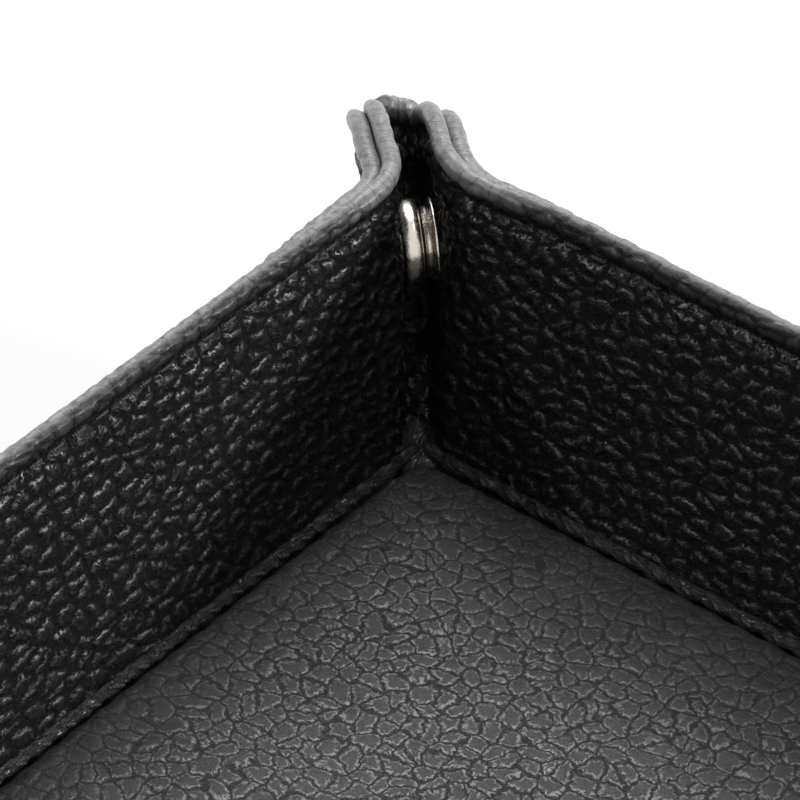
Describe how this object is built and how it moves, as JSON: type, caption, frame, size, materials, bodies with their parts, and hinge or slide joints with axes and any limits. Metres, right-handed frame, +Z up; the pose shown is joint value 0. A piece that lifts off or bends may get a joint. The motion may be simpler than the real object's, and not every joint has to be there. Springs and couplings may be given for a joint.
{
  "type": "valet tray",
  "caption": "Square padded leather valet tray whose corners are pinched into outward ears by press studs, and fold down flat.",
  "frame": {"origin": "centre of the tray on the surface that its outer leather rests on", "axes": "+Z up out of the open tray, +X towards the right wall, +Y towards the back wall"},
  "size_m": [0.2348, 0.2348, 0.0448],
  "materials": {
    "outer_leather": "black pebbled full-grain, satin",
    "lining_leather": "black pebbled full-grain, satin",
    "stiffener_board": "pressed grey-brown fibre board",
    "padding_foam": "fine open-cell foam",
    "thread": "waxed black polyester",
    "snap_metal": "polished nickel plate",
    "spring_wire": "bright drawn wire"
  },
  "bodies": {
    "base": {"base_outer_leather": "outer_leather", "base_board": "stiffener_board", "base_foam": "padding_foam", "base_lining_leather": "lining_leather", "crease_thread": "thread"},
    "right_wall": {"right_wall_outer_leather": "outer_leather", "right_wall_board": "stiffener_board", "right_wall_lining_leather": "lining_leather", "right_wall_rim_thread": "thread"},
    "front_right_socket_ear": {"front_right_socket_ear_outer_leather": "outer_leather", "front_right_socket_ear_lining_leather": "lining_leather", "front_right_snap_cap": "snap_metal", "front_right_snap_socket": "snap_metal", "front_right_snap_ring": "spring_wire"},
    "front_right_stud_ear": {"front_right_stud_ear_outer_leather": "outer_leather", "front_right_stud_ear_lining_leather": "lining_leather", "front_right_snap_stud": "snap_metal", "front_right_snap_post": "snap_metal"},
    "back_wall": {"back_wall_outer_leather": "outer_leather", "back_wall_board": "stiffener_board", "back_wall_lining_leather": "lining_leather", "back_wall_rim_thread": "thread"},
    "back_right_socket_ear": {"back_right_socket_ear_outer_leather": "outer_leather", "back_right_socket_ear_lining_leather": "lining_leather", "back_right_snap_cap": "snap_metal", "back_right_snap_socket": "snap_metal", "back_right_snap_ring": "spring_wire"},
    "back_right_stud_ear": {"back_right_stud_ear_outer_leather": "outer_leather", "back_right_stud_ear_lining_leather": "lining_leather", "back_right_snap_stud": "snap_metal", "back_right_snap_post": "snap_metal"},
    "left_wall": {"left_wall_outer_leather": "outer_leather", "left_wall_board": "stiffener_board", "left_wall_lining_leather": "lining_leather", "left_wall_rim_thread": "thread"},
    "back_left_socket_ear": {"back_left_socket_ear_outer_leather": "outer_leather", "back_left_socket_ear_lining_leather": "lining_leather", "back_left_snap_cap": "snap_metal", "back_left_snap_socket": "snap_metal", "back_left_snap_ring": "spring_wire"},
    "back_left_stud_ear": {"back_left_stud_ear_outer_leather": "outer_leather", "back_left_stud_ear_lining_leather": "lining_leather", "back_left_snap_stud": "snap_metal", "back_left_snap_post": "snap_metal"},
    "front_wall": {"front_wall_outer_leather": "outer_leather", "front_wall_board": "stiffener_board", "front_wall_lining_leather": "lining_leather", "front_wall_rim_thread": "thread"},
    "front_left_socket_ear": {"front_left_socket_ear_outer_leather": "outer_leather", "front_left_socket_ear_lining_leather": "lining_leather", "front_left_snap_cap": "snap_metal", "front_left_snap_socket": "snap_metal", "front_left_snap_ring": "spring_wire"},
    "front_left_stud_ear": {"front_left_stud_ear_outer_leather": "outer_leather", "front_left_stud_ear_lining_leather": "lining_leather", "front_left_snap_stud": "snap_metal", "front_left_snap_post": "snap_metal"}
  },
  "joints": [
    {"name": "right_wall_fold", "type": "hinge", "parent": "base", "child": "right_wall", "pos_m": [0.09, 0, 0.0022], "axis": [0, 1, 0], "range_deg": [0, 78]},
    {"name": "front_right_ear_bend", "type": "hinge", "parent": "right_wall", "child": "front_right_socket_ear", "pos_m": [0.09368, -0.08816, 0.02306], "axis": [-0.1711, 0.1711, -0.9703], "range_deg": [0, 44.72]},
    {"name": "front_right_ear_fold", "type": "hinge", "parent": "front_right_socket_ear", "child": "front_right_stud_ear", "pos_m": [0.10212, -0.10212, 0.01524], "axis": [0.5349, -0.5349, 0.6541], "range_deg": [0, 175.5]},
    {"name": "back_wall_fold", "type": "hinge", "parent": "base", "child": "back_wall", "pos_m": [0, 0.09, 0.0022], "axis": [-1, 0, 0], "range_deg": [0, 78]},
    {"name": "back_right_ear_bend", "type": "hinge", "parent": "back_wall", "child": "back_right_socket_ear", "pos_m": [0.08816, 0.09368, 0.02306], "axis": [-0.1711, -0.1711, -0.9703], "range_deg": [0, 44.72]},
    {"name": "back_right_ear_fold", "type": "hinge", "parent": "back_right_socket_ear", "child": "back_right_stud_ear", "pos_m": [0.10212, 0.10212, 0.01524], "axis": [0.5349, 0.5349, 0.6541], "range_deg": [0, 175.5]},
    {"name": "left_wall_fold", "type": "hinge", "parent": "base", "child": "left_wall", "pos_m": [-0.09, 0, 0.0022], "axis": [0, -1, 0], "range_deg": [0, 78]},
    {"name": "back_left_ear_bend", "type": "hinge", "parent": "left_wall", "child": "back_left_socket_ear", "pos_m": [-0.09368, 0.08816, 0.02306], "axis": [0.1711, -0.1711, -0.9703], "range_deg": [0, 44.72]},
    {"name": "back_left_ear_fold", "type": "hinge", "parent": "back_left_socket_ear", "child": "back_left_stud_ear", "pos_m": [-0.10212, 0.10212, 0.01524], "axis": [-0.5349, 0.5349, 0.6541], "range_deg": [0, 175.5]},
    {"name": "front_wall_fold", "type": "hinge", "parent": "base", "child": "front_wall", "pos_m": [0, -0.09, 0.0022], "axis": [1, 0, 0], "range_deg": [0, 78]},
    {"name": "front_left_ear_bend", "type": "hinge", "parent": "front_wall", "child": "front_left_socket_ear", "pos_m": [-0.08816, -0.09368, 0.02306], "axis": [0.1711, 0.1711, -0.9703], "range_deg": [0, 44.72]},
    {"name": "front_left_ear_fold", "type": "hinge", "parent": "front_left_socket_ear", "child": "front_left_stud_ear", "pos_m": [-0.10212, -0.10212, 0.01524], "axis": [-0.5349, -0.5349, 0.6541], "range_deg": [0, 175.5]}
  ],
  "couplings": [
    {"joint": "front_right_ear_bend", "follows": "right_wall_fold", "ratio": 0.5733},
    {"joint": "front_right_ear_fold", "follows": "right_wall_fold", "ratio": 2.25},
    {"joint": "back_wall_fold", "follows": "right_wall_fold", "ratio": 1},
    {"joint": "back_right_ear_bend", "follows": "right_wall_fold", "ratio": 0.5733},
    {"joint": "back_right_ear_fold", "follows": "right_wall_fold", "ratio": 2.25},
    {"joint": "left_wall_fold", "follows": "right_wall_fold", "ratio": 1},
    {"joint": "back_left_ear_bend", "follows": "right_wall_fold", "ratio": 0.5733},
    {"joint": "back_left_ear_fold", "follows": "right_wall_fold", "ratio": 2.25},
    {"joint": "front_wall_fold", "follows": "right_wall_fold", "ratio": 1},
    {"joint": "front_left_ear_bend", "follows": "right_wall_fold", "ratio": 0.5733},
    {"joint": "front_left_ear_fold", "follows": "right_wall_fold", "ratio": 2.25}
  ]
}
